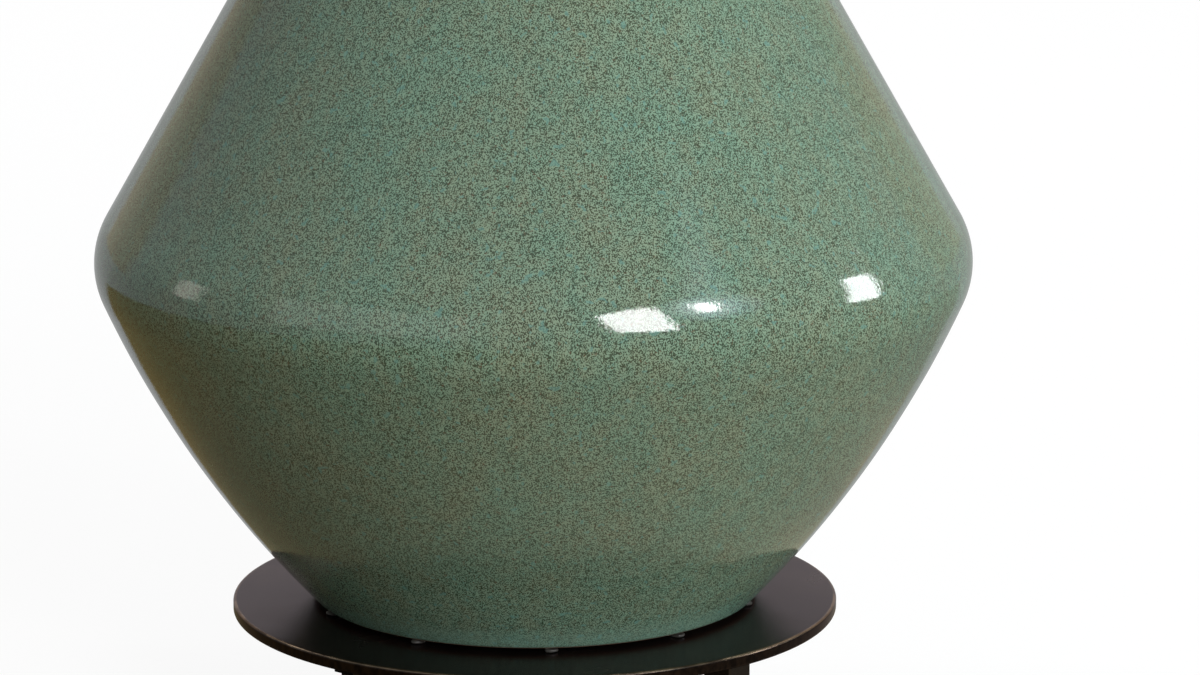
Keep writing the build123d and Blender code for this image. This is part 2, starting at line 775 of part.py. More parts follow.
# ---- finial --------------------------------------------------------------------------------------
def finial_base():
    """Turned base of the finial with the blind bore for the stud."""
    top = finial_floor + finial_base_height
    bore = stud_radius + stud_clearance
    roof = finial_floor + finial_bore_depth
    low = finial_floor + finial_foot_height
    high = low + finial_foot_chamfer
    return turned([(bore, finial_floor), (finial_base_radius, finial_floor), (finial_base_radius, low),
                   (finial_base_radius - finial_foot_chamfer, high),
                   (finial_waist_radius, high + finial_foot_rise), (finial_waist_radius, roof),
                   (finial_neck_radius, top), (0, top), (0, roof), (bore, roof)])


def finial_ball():
    """Ball of the finial, cut flat where it is brazed to the base."""
    top = finial_floor + finial_base_height
    sink = finial_ball_radius - sqrt(finial_ball_radius ** 2 - finial_neck_radius ** 2)
    ball = Pos(0, 0, top + finial_ball_radius - sink) * Sphere(finial_ball_radius)
    return ball - tube(finial_base_radius, 0, top - finial_ball_radius, top)


# ---- all the pieces ------------------------------------------------------------------------------
def all_parts():
    """Every piece by its node name."""
    parts = {
        "leg_welds": leg_welds(),
        "base_plate": base_plate(),
        "jar_pads": jar_pads(),
        "jar_body": jar_body(),
        "centring_bush": centring_bush(),
        "threaded_pipe": threaded_pipe(),
        "plate_washer": plate_washer(),
        "plate_nut": plate_nut(),
        "cord_gland": cord_gland(),
        "cap_gasket": cap_gasket(),
        "vase_cap": vase_cap(),
        "neck_spool": neck_spool(),
        "check_ring": check_ring(),
        "harp_saddle": harp_saddle(),
        "socket_cap": socket_cap(),
        "socket_set_screw": socket_set_screw(),
        "socket_shell": socket_shell(),
        "socket_liner": socket_liner(),
        "socket_body": socket_body(),
        "terminal_screws": terminal_screws(),
        "screw_shell": screw_shell(),
        "centre_contact": centre_contact(),
        "switch_stem": switch_stem(),
        "switch_knob": switch_knob(),
        "bulb_contact": bulb_contact(),
        "bulb_insulator": bulb_insulator(),
        "bulb_cap": bulb_cap(),
        "bulb_glass": bulb_glass(),
        "bulb_stem": bulb_stem(),
        "bulb_filament": bulb_filament(),
        "harp_wire": harp_wire(),
        "harp_top_plate": harp_top_plate(),
        "harp_stud": harp_stud(),
        "harp_ferrule_left": ferrule(-1),
        "harp_ferrule_right": ferrule(1),
        "stud_washer": stud_washer(),
        "spider_hub": spider_hub(),
        "shade_top_ring": wire_ring(shade_top - ring_wire_radius),
        "shade_bottom_ring": wire_ring(shade_bottom + ring_wire_radius),
        "shade_liner": shade_liner(),
        "shade_fabric": shade_fabric(),
        "shade_trim_top": shade_trim(shade_top - trim_height, shade_top),
        "shade_trim_bottom": shade_trim(shade_bottom, shade_bottom + trim_height),
        "finial_base": finial_base(),
        "finial_ball": finial_ball(),
    }
    for place, bearing in leg_bearings.items():
        parts[f"leg_{place}"] = at_bearing(leg(), leg_circle_radius, bearing, pad_height)
        parts[f"foot_pad_{place}"] = at_bearing(foot_pad(), leg_circle_radius, bearing)
    for place, bearing in spider_bearings.items():
        parts[f"spider_arm_{place}"] = spider_arm(bearing)
    return parts


os.makedirs("parts", exist_ok=True)
for name, shape in all_parts().items():
    if isinstance(shape, list):
        shape = Compound(children=shape)
    export_step(shape, f"parts/{name}.step")
print("plate top", plate_top, "jar top", jar_top, "saddle", saddle_top, "shade", shade_bottom, shade_top)
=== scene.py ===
import json
import math

import bmesh
import bpy
import numpy as np
from mathutils import Matrix, Vector


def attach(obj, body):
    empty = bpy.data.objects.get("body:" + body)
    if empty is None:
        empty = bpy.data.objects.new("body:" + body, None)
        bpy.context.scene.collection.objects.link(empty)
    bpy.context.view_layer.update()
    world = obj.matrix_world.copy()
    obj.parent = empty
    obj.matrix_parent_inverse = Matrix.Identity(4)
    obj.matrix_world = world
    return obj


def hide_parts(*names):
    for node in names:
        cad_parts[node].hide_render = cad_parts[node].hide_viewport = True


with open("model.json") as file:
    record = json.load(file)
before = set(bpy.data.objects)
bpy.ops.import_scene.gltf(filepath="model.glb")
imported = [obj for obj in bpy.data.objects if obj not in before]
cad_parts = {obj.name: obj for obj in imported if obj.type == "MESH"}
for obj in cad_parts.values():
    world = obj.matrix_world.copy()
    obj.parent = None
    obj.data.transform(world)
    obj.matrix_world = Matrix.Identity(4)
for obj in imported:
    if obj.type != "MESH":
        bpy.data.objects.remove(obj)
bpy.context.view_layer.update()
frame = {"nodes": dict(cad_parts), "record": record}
nodes = frame["nodes"]

# Table lamp: glazed double-cone jar on a dark bronze plate with four bar legs, under a linen shade.
# Metres, +Z up the lamp's axis, z = 0 is the table. Lengths of the lamp itself are written in mm and
# turned into metres by MM. Finishes and the studio are in metres.
MM = 0.001

# Round plate: its two faces, its radius, the rounding of its rim, the pipe's hole and the hole's eased edge.
PLATE_LOW, PLATE_TOP = 40.5, 44.5
PLATE_R, PLATE_ARRIS = 100.0, 0.9
PIPE_HOLE_R, PIPE_HOLE_EASE = 4.9, 0.15

# Jar: foot above the table, height and wall, then the arcs of its side, with levels measured from the foot.
# The cone above the ridge leans in by CONE_LEAN, and the big lower arc takes over from the ridge's arc at
# LOWER_START below level.
JAR_FLOOR, JAR_HEIGHT, JAR_WALL = 45.7, 325.0, 6.0
RIDGE_R, RIDGE_ROUND, RIDGE_LEVEL = 143.2, 28.0, 112.8
LOWER_ROUND, LOWER_START = 350.0, math.radians(23.8)
CONE_LEAN = math.radians(29.9)
NECK_R, NECK_BLEND, RIM_ROUND = 42.0, 25.0, 2.4
FOOT_ROUND, INNER_FOOT_ROUND, FLOOR_HOLE_R = 4.4, 10.0, 8.0

# Silicone dots between plate and foot: ring, number, bearing of the first, and one dot's half sizes.
BEAD_RING_R, BEAD_COUNT, BEAD_FIRST = 71.0, 10, 268.6
BEAD_OUT, BEAD_ASIDE, BEAD_UP, BEAD_SWELL = 2.4, 2.2, 0.62, 0.3

# Shade: levels and outside radii of its two edges.
SHADE_LOW, SHADE_HIGH = 399.0, 678.0
SHADE_R_LOW, SHADE_R_HIGH = 203.2, 177.8

# Facets round each turned piece.
JAR_SPOKES, PLATE_SPOKES, TAPE_SPOKES = 264, 360, 300

# The picture is taken from VIEW_SWING round the lamp's front, which puts the studio's rear at REAR_BEARING.
# The studio's lamps face the lamp's axis at LIT_LEVEL, from LAMP_DISTANCE away.
VIEW_SWING = math.radians(-6.4)
REAR_BEARING = 173.6
LIT_LEVEL = 170.0
LAMP_DISTANCE = 3.0
WHITE = (1.0, 1.0, 1.0)


def direction(bearing, lift):
    """Unit vector at a bearing in degrees, 0 to the front and 90 to the right, and degrees above level."""
    b, e = math.radians(bearing), math.radians(lift)
    return Vector((math.sin(b) * math.cos(e), -math.cos(b) * math.cos(e), math.sin(e)))


# ---- meshes from grids --------------------------------------------------------------------------
def quads_of(rows, cols, wrap_rows, wrap_cols):
    """Corner numbers of the quads of a rows x cols grid: quad (i, j) joins its four neighbours, and a
    wrapped side takes the remainder of i + 1 or j + 1, so its last row or column meets the first."""
    i, j = np.meshgrid(np.arange(rows if wrap_rows else rows - 1),
                       np.arange(cols if wrap_cols else cols - 1), indexing="ij")
    i2, j2 = (i + 1) % rows, (j + 1) % cols
    return np.stack([i * cols + j, i * cols + j2, i2 * cols + j2, i2 * cols + j], axis=-1).reshape(-1, 4)


def mesh_piece(name, points, faces, uv=None):
    """Object at the origin with the given points and quads, smooth shaded, uv as one pair per point."""
    mesh = bpy.data.meshes.new(name)
    mesh.vertices.add(len(points))
    mesh.vertices.foreach_set("co", np.ascontiguousarray(points, np.float32).ravel())
    mesh.loops.add(faces.size)
    mesh.loops.foreach_set("vertex_index", faces.astype(np.int32).ravel())
    mesh.polygons.add(len(faces))
    mesh.polygons.foreach_set("loop_start", np.arange(0, faces.size, 4, dtype=np.int32))
    mesh.polygons.foreach_set("use_smooth", np.ones(len(faces), bool))
    if uv is not None:
        layer = mesh.uv_layers.new(name="UVMap")
        layer.data.foreach_set("uv", np.ascontiguousarray(uv[faces.ravel()], np.float32).ravel())
    mesh.update(calc_edges=True)
    mesh.validate()
    piece = bpy.data.objects.new(name, mesh)
    bpy.context.scene.collection.objects.link(piece)
    return piece


def turned_piece(name, profile, segments, swell=None):
    """Closed profile loop of (radius, height) swung round the lamp's axis: point (i, j) is
    (r_i cos a_j, r_i sin a_j, z_i) with a_j = 2 pi j / segments. swell(angle, height) scales the radius.
    The loop runs anticlockwise seen with radius to the right, so that faces point outwards."""
    r, z = profile[:, 0][:, None], profile[:, 1][:, None]
    a = np.linspace(0, 2 * np.pi, segments, endpoint=False)[None, :]
    r = r * (swell(a, z) if swell else 1.0)
    grid = np.stack([r * np.cos(a), r * np.sin(a), z + 0 * a], axis=-1)
    run = np.concatenate([[0], np.cumsum(np.hypot(*np.diff(profile, axis=0).T))])
    round_share = np.repeat(a / (2 * np.pi), len(profile), 0)
    uv = np.stack([round_share, np.repeat(run[:, None], segments, 1)], axis=-1)
    faces = quads_of(len(profile), segments, True, True)
    return mesh_piece(name, grid.reshape(-1, 3), faces, uv.reshape(-1, 2))


def arc(centre, radius, start, end, count):
    """count points on an arc about (x, z), angles in radians above the outward direction."""
    t = np.linspace(start, end, count)
    return np.stack([centre[0] + radius * np.cos(t), centre[1] + radius * np.sin(t)], axis=1)


def run_line(start, end, count):
    """count points on a straight line, both ends included."""
    return np.linspace(np.asarray(start, float), np.asarray(end, float), count)


def merged(*parts):
    """Profile parts one after the other, in mm, without points that lie on the next one."""
    same_spot = 1e-4
    loop = np.concatenate(parts)
    step = np.hypot(*np.diff(loop, axis=0, append=loop[:1]).T)
    return loop[step > same_spot]


# ---- jar ----------------------------------------------------------------------------------------
def jar_side(inset, floor, floor_round, top):
    """Side of the jar in mm above its foot, drawn in by an inset: floor round, large lower arc, ridge arc,
    straight cone, hollow blend and upright neck, each sharing a tangent with the next."""
    ridge = (RIDGE_R - RIDGE_ROUND, RIDGE_LEVEL)
    apart = LOWER_ROUND - RIDGE_ROUND
    lower = (ridge[0] - apart * math.cos(LOWER_START), ridge[1] + apart * math.sin(LOWER_START))
    lower_r = LOWER_ROUND - inset
    corner_z = floor + floor_round
    corner_x = lower[0] + math.sqrt((lower_r - floor_round) ** 2 - (corner_z - lower[1]) ** 2)
    corner_angle = math.atan2(corner_z - lower[1], corner_x - lower[0])
    cone = (ridge[0] + RIDGE_ROUND * math.cos(CONE_LEAN), ridge[1] + RIDGE_ROUND * math.sin(CONE_LEAN))
    blend_x = NECK_R + NECK_BLEND
    climb = (NECK_BLEND - (blend_x - cone[0]) * math.cos(CONE_LEAN)) / math.sin(CONE_LEAN)
    blend = (blend_x, cone[1] + climb)
    neck = NECK_R - inset
    return merged(
        arc((corner_x, corner_z), floor_round, -math.pi / 2, corner_angle, 14),
        arc(lower, lower_r, corner_angle, -LOWER_START, 84),
        arc(ridge, RIDGE_ROUND - inset, -LOWER_START, CONE_LEAN, 46),
        arc(blend, NECK_BLEND + inset, CONE_LEAN + math.pi, math.pi, 14),
        run_line((neck, blend[1]), (neck, top), 8)[1:])


def jar_profile():
    """Closed loop of the jar's wall: outside from the floor hole up, over the rolled rim, down inside."""
    rim = JAR_HEIGHT - RIM_ROUND
    outside = jar_side(0.0, 0.0, FOOT_ROUND, rim)
    inside = jar_side(JAR_WALL, JAR_WALL, INNER_FOOT_ROUND, rim)[::-1]
    rim_out = arc((NECK_R - RIM_ROUND, rim), RIM_ROUND, 0, math.pi / 2, 8)
    rim_in = arc((NECK_R - JAR_WALL + RIM_ROUND, rim), RIM_ROUND, math.pi / 2, math.pi, 8)
    floor_out = run_line((FLOOR_HOLE_R, 0.0), outside[0], 8)[:-1]
    floor_in = run_line(inside[-1], (FLOOR_HOLE_R, JAR_WALL), 8)[1:]
    loop = merged(floor_out, outside, rim_out[1:], rim_in, inside[1:], floor_in)
    loop[:, 1] += JAR_FLOOR
    return loop * MM


def plate_profile():
    """Closed loop of the plate's section: under side out, lower arris, rim, upper arris, top in, hole."""
    low, high, arris, ease = PLATE_LOW, PLATE_TOP, PLATE_ARRIS, PIPE_HOLE_EASE
    corner = PLATE_R - arris
    hole = PIPE_HOLE_R + ease
    under = run_line((hole, low), (corner, low), 40)
    below = arc((corner, low + arris), arris, -math.pi / 2, 0, 13)
    above = arc((corner, high - arris), arris, 0, math.pi / 2, 13)
    top = run_line((corner, high), (hole, high), 40)
    ease_high = arc((hole, high - ease), ease, math.pi / 2, math.pi, 5)
    ease_low = arc((hole, low + ease), ease, math.pi, 3 * math.pi / 2, 5)
    return merged(under, below[1:], above, top[1:], ease_high[1:], ease_low[:-1]) * MM


def throwing_marks(angle, height):
    """Radius factor 1 + 0.6 (0.0003 sin 0.21h + 0.0004 sin(0.083h + 1)) + 0.0004 sin(2 angle + 0.02h)
    - 0.0009, h in mm: the faint unevenness that a thrown and trimmed wall keeps, all of it inwards."""
    h = height / MM
    rings = np.sin(h * 0.21) * 0.0003 + np.sin(h * 0.083 + 1.0) * 0.0004
    return 1 + rings * 0.6 + 0.0004 * np.sin(2 * angle + h * 0.02) - 0.0009


def silicone_bead(name, bearing):
    """Squeezed bead between plate and foot: superellipsoid |r|^2.6 + |h|^2.6 = 1, raised at its outer side
    by BEAD_SWELL (outward share)^2, its outline wavering by 6% in three lobes and 4% in two."""
    rows, cols = 13, 28
    u = np.linspace(-np.pi / 2, np.pi / 2, rows)[:, None]
    a = np.linspace(0, 2 * np.pi, cols, endpoint=False)[None, :]
    power = 2 / 2.6
    flat = np.sign(np.cos(u)) * np.abs(np.cos(u)) ** power
    lift = np.sign(np.sin(u)) * np.abs(np.sin(u)) ** power
    waver = 1 + 0.06 * np.sin(3 * a + bearing) + 0.04 * np.sin(2 * a + 2 * bearing)
    out = flat * np.cos(a) * BEAD_OUT * waver
    aside = flat * np.sin(a) * BEAD_ASIDE * waver
    swell = np.clip(out / BEAD_OUT, 0, 1) ** 2 * BEAD_SWELL * (lift > 0)
    up = (JAR_FLOOR + PLATE_TOP) / 2 + lift * (BEAD_UP + swell)
    cos, sin = math.cos(math.radians(bearing)), math.sin(math.radians(bearing))
    r = BEAD_RING_R + out
    grid = np.stack([r * cos - aside * sin, r * sin + aside * cos, up + 0 * a], axis=-1)
    points = grid.reshape(-1, 3) * MM
    points[:cols] = points[:cols].mean(0)
    points[-cols:] = points[-cols:].mean(0)
    return close_poles(mesh_piece(name, points, quads_of(rows, cols, False, True)))


def close_poles(piece):
    """Merges points that lie on one another, so that the rows drawn into a pole close it."""
    same_spot = 1e-6
    b = bmesh.new()
    b.from_mesh(piece.data)
    bmesh.ops.remove_doubles(b, verts=b.verts, dist=same_spot)
    bmesh.ops.recalc_face_normals(b, faces=b.faces)
    b.to_mesh(piece.data)
    b.free()
    piece.data.update()
    return piece


# ---- shade --------------------------------------------------------------------------------------
def shade_radius(height):
    """Outside radius of the shade in mm at a height in mm, falling in a straight line."""
    return SHADE_R_LOW - (height - SHADE_LOW) * (SHADE_R_LOW - SHADE_R_HIGH) / (SHADE_HIGH - SHADE_LOW)


def linen_skin():
    """Cone strip that starts at the back, runs once round and 10 mm on. With a radians round and h mm up, its
    radius is the shade's side less 0.35 mm, plus 0.05 sin(7a + 0.02h) + 0.04 sin(11a - 0.013h) of slack. The
    glued lap past the first turn rides 0.5 mm proud, a rise that the 0.02 radians before it bring in."""
    rows, cols = 40, 420
    lap, middle_r = 10.0, 190.0
    inset, proud, climb, trim, cloth = 0.35, 0.5, 0.02, 0.4, 0.4
    a = np.linspace(0, 2 * np.pi + lap / middle_r, cols)[None, :]
    h = np.linspace(SHADE_LOW + trim, SHADE_HIGH - trim, rows)[:, None]
    over = np.clip((a - 2 * np.pi + climb) / climb, 0, 1) * proud
    slack = np.sin(7 * a + h * 0.02) * 0.05 + np.sin(11 * a - h * 0.013) * 0.04
    r = shade_radius(h) - inset + over + slack
    turn = a + np.pi / 2
    grid = np.stack([r * np.cos(turn), r * np.sin(turn), h + 0 * a], axis=-1) * MM
    uv = np.stack([a * (middle_r * MM) + 0 * h, (h - SHADE_LOW) * MM + 0 * a], axis=-1)
    faces = quads_of(rows, cols, False, False)
    piece = mesh_piece("linen_skin", grid.reshape(-1, 3), faces, uv.reshape(-1, 2))
    wall = piece.modifiers.new("cloth", "SOLIDIFY")
    wall.thickness = cloth * MM
    wall.offset = -1
    return piece


def tape_waver(angle, height):
    """Radius factor 1 + 0.0002 sin(31 angle): the slight waver of a tape folded by hand."""
    return 1 + 0.0002 * np.sin(31 * angle)


def binding(name, edge, inward):
    """Rolled edge of the shade: linen tape glued on the outside, taken over the edge and round the wire ring,
    and tucked down the lining. A closed loop of (distance out from the shade's side, distance from the edge
    into the shade), swung round the axis. inward is 1 for the top edge and -1 for the bottom one."""
    wire_out, wire_in = -2.7, 1.3
    tape_outer, tape_inner = 1.72, 1.4

    def round_wire(radius, start, end, count):
        """Points round the wire, angles in radians from the edge's side of it towards the lamp's axis."""
        t = np.linspace(start, end, count)
        return list(zip(wire_out - radius * np.sin(t), wire_in - radius * np.cos(t)))

    hem = [(0.05, 9.0), (0.35, 9.1), (0.52, 8.7)]
    outside = [(0.5, 6.0), (0.5, 3.0), (0.5, 0.8), (0.42, 0.3), (0.15, -0.05), (-0.3, -0.27), (-1.3, -0.38)]
    tucked = [(-2.1, 3.5), (-1.85, 4.5), (-1.8, 6.2), (-1.62, 6.4), (-1.46, 6.2), (-1.46, 4.4), (-1.7, 3.1)]
    inside = [(-1.3, -0.1), (-0.3, -0.1), (0.03, 0.1), (0.03, 4.0), (0.03, 7.0)]
    over = round_wire(tape_outer, 0.0, 2.8, 14)
    back = round_wire(tape_inner, 2.6, 0.0, 12)
    path = np.array(hem + outside + over + tucked + back + inside)
    z = edge - inward * path[:, 1]
    loop = np.stack([shade_radius(z) + path[:, 0], z], axis=1) * MM
    if inward > 0:
        loop = loop[::-1]
    return turned_piece(name, loop, TAPE_SPOKES, swell=tape_waver)


# ---- materials ----------------------------------------------------------------------------------
class Shading:
    """Small helpers that add nodes to the tree of a material or of the world, which they empty first."""

    def __init__(self, owner, where="Object"):
        owner.use_nodes = True
        self.tree = owner.node_tree
        self.tree.nodes.clear()
        self.where = self.node("ShaderNodeTexCoord").outputs[where]

    def node(self, kind, inputs=None, **settings):
        """New node; a socket given as a value is linked, anything else is set."""
        made = self.tree.nodes.new(kind)
        for key, value in settings.items():
            setattr(made, key, value)
        for key, value in (inputs or {}).items():
            self.feed(made.inputs[key], value)
        return made

    def feed(self, socket, value):
        """Links a value that is a socket, and sets any other."""
        if isinstance(value, bpy.types.NodeSocket):
            self.tree.links.new(value, socket)
        else:
            socket.default_value = value

    def placed(self, scale=(1, 1, 1), turn=(0, 0, 0), shift=(0, 0, 0), start=None):
        """Coordinates, the object's own unless others are given, stretched, turned and shifted."""
        inputs = {"Vector": start or self.where, "Scale": scale, "Rotation": turn, "Location": shift}
        return self.node("ShaderNodeMapping", inputs).outputs[0]

    def noise(self, scale, detail=2.0, rough=0.5, where=None, distortion=0.0):
        """Soft noise about 0.5; scale is its clumps per metre of the coordinates."""
        inputs = {"Vector": where or self.where, "Scale": scale, "Detail": detail, "Roughness": rough,
                  "Distortion": distortion}
        return self.node("ShaderNodeTexNoise", inputs).outputs["Fac"]

    def spread(self, value, low, high, out_low=0.0, out_high=1.0):
        """value taken from low..high to out_low..out_high, clamped, eased at both ends."""
        made = self.node("ShaderNodeMapRange", {"Value": value, "From Min": low, "From Max": high,
                                                "To Min": out_low, "To Max": out_high})
        made.interpolation_type = "SMOOTHSTEP"
        return made.outputs[0]

    def maths(self, kind, a, b=0.0):
        """One step of arithmetic on numbers or sockets."""
        return self.node("ShaderNodeMath", {0: a, 1: b}, operation=kind).outputs[0]

    def plus(self, a, b):
        """a + b."""
        return self.maths("ADD", a, b)

    def times(self, a, b):
        """a times b."""
        return self.maths("MULTIPLY", a, b)

    def blend(self, share, a, b, kind="MIX"):
        """Colour a, going to b as share goes from 0 to 1."""
        made = self.node("ShaderNodeMix", data_type="RGBA", blend_type=kind)
        self.feed(made.inputs[0], share)
        self.feed(made.inputs[6], a if isinstance(a, bpy.types.NodeSocket) else (*a, 1.0))
        self.feed(made.inputs[7], b if isinstance(b, bpy.types.NodeSocket) else (*b, 1.0))
        return made.outputs[2]

    def height(self):
        """How far up a point lies."""
        return self.node("ShaderNodeSeparateXYZ", {0: self.where}).outputs["Z"]

    def relief(self, value, depth, below=None):
        """Bump of a height map as deep as depth in metres, laid over another bump if there is one."""
        made = self.node("ShaderNodeBump", {"Height": value, "Distance": depth, "Strength": 1.0})
        if below is not None:
            self.feed(made.inputs["Normal"], below)
        return made.outputs[0]

    def swing(self):
        """Angle in radians between the rear of the studio and where a point lies, seen from above."""
        x, y, _ = self.node("ShaderNodeSeparateXYZ", {0: self.where}).outputs
        rear_x, rear_y = direction(REAR_BEARING, 0).xy
        ahead = self.plus(self.times(x, rear_x), self.times(y, rear_y))
        aside = self.maths("SUBTRACT", self.times(x, rear_y), self.times(y, rear_x))
        return self.maths("ABSOLUTE", self.maths("ARCTAN2", aside, ahead))


class Finish(Shading):
    """A procedural material with one Principled shader."""

    def __init__(self, name, **constants):
        self.material = bpy.data.materials.new(name)
        super().__init__(self.material)
        self.shader = self.node("ShaderNodeBsdfPrincipled")
        for key, value in constants.items():
            self.shader.inputs[key.replace("_", " ")].default_value = value
        self.node("ShaderNodeOutputMaterial", {0: self.shader.outputs[0]})

    def to(self, socket, value):
        """Feeds a socket of the Principled shader."""
        self.feed(self.shader.inputs[socket], value)


def glaze_finish():
    """Glossy celadon glaze. A mint ground carries dense dark worm-shaped flecks about a millimetre apart,
    drawn out a little down the wall, with blue and rusty specks. Its hue drifts between teal and warm olive
    in small clouds and streaks. Painted light makes the wall paler from the foot up, fading out between 52
    and 82 mm above the table, where the plate shades it. The band at the foot is made lighter still and
    mixed towards pale mint, and the foot's own face is left as bare brown clay."""
    gloss, bare_rough = 0.045, 0.8
    ground_olive, ground_teal = (0.232, 0.300, 0.205), (0.190, 0.316, 0.228)
    fleck_olive, fleck_teal = (0.052, 0.060, 0.034), (0.040, 0.068, 0.044)
    blue, rust = (0.125, 0.275, 0.235), (0.115, 0.055, 0.028)
    # Gain of the painted light on the lower wall where the plate shades it, and the foot band's gain.
    painted_light_gain, foot_gain = (1.24, 1.30, 1.33), (1.10, 1.18, 1.22)
    pale_mint, clay = (0.222, 0.375, 0.295), (0.35, 0.20, 0.13)

    f = Finish("celadon_glaze", Roughness=gloss, IOR=1.52)
    worms = f.noise(2750, 1.0, 0.35, f.placed(scale=(1, 1, 0.78)), 0.2)
    thick = f.noise(950, 1.0, 0.4, f.placed(scale=(1, 1, 0.6), shift=(0.2, 0.5, 0.1)))
    ground_share = f.spread(f.plus(f.times(worms, 0.84), f.times(thick, 0.16)), 0.440, 0.545)
    clouds = f.noise(34, 3.0, 0.6, f.placed(scale=(1, 1, 0.5), shift=(3.1, 1.7, 0.2)))
    small = f.noise(260, 2.0, 0.6, f.placed(scale=(1, 1, 0.55), shift=(1.1, 0.7, 0.4)))
    streaks = f.noise(90, 2.0, 0.5, f.placed(scale=(1, 1, 0.12), shift=(0.4, 2.7, 0.9)))
    hue = f.plus(f.times(clouds, 0.45), f.times(small, 0.35))
    teal = f.spread(f.plus(hue, f.times(streaks, 0.20)), 0.34, 0.66)
    ground = f.blend(teal, ground_olive, ground_teal)
    flecks = f.blend(teal, fleck_olive, fleck_teal)
    colour = f.blend(ground_share, flecks, ground)
    blue_specks = f.spread(f.noise(420, 1.0, 0.4, f.placed(shift=(0.7, 0.9, 0.2))), 0.66, 0.74)
    colour = f.blend(f.times(blue_specks, 0.6), colour, blue)
    rust_specks = f.spread(f.noise(1150, 0.0, 0.5, f.placed(shift=(0.3, 0.1, 0.7))), 0.72, 0.78)
    colour = f.blend(f.times(rust_specks, 0.5), colour, rust)

    up = f.height()
    # Painted light: the lower wall is multiplied lighter where the plate keeps light from it.
    painted_light_low = f.spread(up, 0.0520, 0.0820, 1.0, 0.0)
    foot = f.spread(up, 0.0485, 0.0565, 1.0, 0.0)
    bare = f.spread(up, 0.04655, 0.04625)
    colour = f.blend(painted_light_low, colour, f.blend(1.0, colour, painted_light_gain, "MULTIPLY"))
    colour = f.blend(foot, colour, f.blend(1.0, colour, foot_gain, "MULTIPLY"))
    colour = f.blend(f.times(foot, 0.38), colour, pale_mint)
    f.to("Base Color", f.blend(bare, colour, clay))
    f.to("Roughness", f.spread(bare, 0.0, 1.0, gloss, bare_rough))
    pits = f.noise(820, 2.0, 0.6, f.placed(shift=(0.9, 0.4, 0.3)))
    orange_peel = f.relief(f.noise(130, 1.5, 0.5), 0.00006)
    f.to("Normal", f.relief(pits, 0.000030, orange_peel))
    return f.material


def bronze_finish():
    """Dark oil-rubbed bronze: warm near-black lacquer over metal, faintly clouded, with fine rubbed grain.
    The plate's rim is darker and mottled brown, and its upper arris is rubbed to brass in patches, as
    handling leaves it."""
    lacquer, lacquer_pale, grain_worn = (0.034, 0.029, 0.026), (0.050, 0.042, 0.037), (0.16, 0.105, 0.065)
    rim_dark, rim_brown, brass = (0.011, 0.008, 0.007), (0.026, 0.017, 0.013), (0.27, 0.195, 0.132)

    f = Finish("oil_rubbed_bronze", Metallic=0.94, Specular_Tint=(0.82, 0.75, 0.78, 1.0))
    cloud = f.noise(35, 3.0, 0.6)
    grain = f.noise(600, 2.0, 0.6, f.placed(scale=(1, 1, 3)))
    colour = f.blend(f.spread(cloud, 0.35, 0.7), lacquer, lacquer_pale)
    worn = f.spread(grain, 0.62, 0.75)
    colour = f.blend(f.times(worn, 0.35), colour, grain_worn)
    x, y, z = f.node("ShaderNodeSeparateXYZ", {0: f.where}).outputs
    out = f.maths("POWER", f.plus(f.maths("POWER", x, 2.0), f.maths("POWER", y, 2.0)), 0.5)
    rim = f.spread(out, 0.0990, 0.0997)
    mottle = f.noise(520, 2.0, 0.6, f.placed(scale=(1, 1, 0.6), shift=(0.2, 0.4, 0.6)))
    colour = f.blend(rim, colour, f.blend(f.spread(mottle, 0.35, 0.65), rim_dark, rim_brown))
    arris = f.times(f.spread(out, 0.0988, 0.0992), f.spread(z, 0.04395, 0.04420))
    patchy = f.spread(f.noise(70, 3.0, 0.6, f.placed(shift=(0.5, 0.2, 0.8))), 0.35, 0.65, 0.25, 1.0)
    f.to("Base Color", f.blend(f.times(arris, patchy), colour, brass))
    f.to("Roughness", f.spread(cloud, 0.3, 0.7, 0.20, 0.28))
    f.to("Normal", f.relief(grain, 0.000003))
    return f.material


def felt_finish():
    """Dense brown felt: matted fibres."""
    f = Finish("brown_felt", Roughness=0.95)
    fibres = f.noise(1800, 4.0, 0.7, f.placed(scale=(1, 0.4, 1)), 1.5)
    f.to("Base Color", f.blend(f.spread(fibres, 0.3, 0.7), (0.030, 0.024, 0.020), (0.085, 0.070, 0.058)))
    f.to("Normal", f.relief(fibres, 0.0004))
    return f.material


def silicone_finish():
    """Clear silicone, slightly cloudy."""
    f = Finish("clear_silicone", Roughness=0.34, IOR=1.41, Transmission_Weight=0.88)
    cloud = f.noise(500, 2.0)
    f.to("Base Color", f.blend(f.spread(cloud, 0.3, 0.7), (0.16, 0.15, 0.135), (0.30, 0.29, 0.265)))
    f.to("Normal", f.relief(cloud, 0.00008))
    return f.material


def moulded_finish(name, low, high, rough, scale=900, depth=0.00003):
    """Moulded plastic, rubber, fibre or phenolic: a faint spark-eroded grain with a soft mottle."""
    f = Finish(name, Roughness=rough)
    grain = f.noise(scale, 3.0, 0.6)
    f.to("Base Color", f.blend(f.spread(grain, 0.3, 0.7), low, high))
    f.to("Normal", f.relief(grain, depth))
    return f.material


def metal_finish(name, low, high, rough, patches=60, scratch=900, stretch=(1, 1, 0.08), depth=0.000006):
    """Plated or drawn metal: tarnish in clouds, fine drawn lines, and the lines' shallow relief."""
    f = Finish(name, Metallic=1.0)
    cloud = f.noise(patches, 3.0, 0.6)
    lines = f.noise(scratch, 2.0, 0.6, f.placed(scale=stretch))
    tone = f.plus(f.times(cloud, 0.7), f.times(lines, 0.3))
    f.to("Base Color", f.blend(f.spread(tone, 0.35, 0.65), low, high))
    f.to("Roughness", f.spread(tone, 0.3, 0.7, rough + 0.08, rough - 0.04))
    f.to("Normal", f.relief(lines, depth))
    return f.material


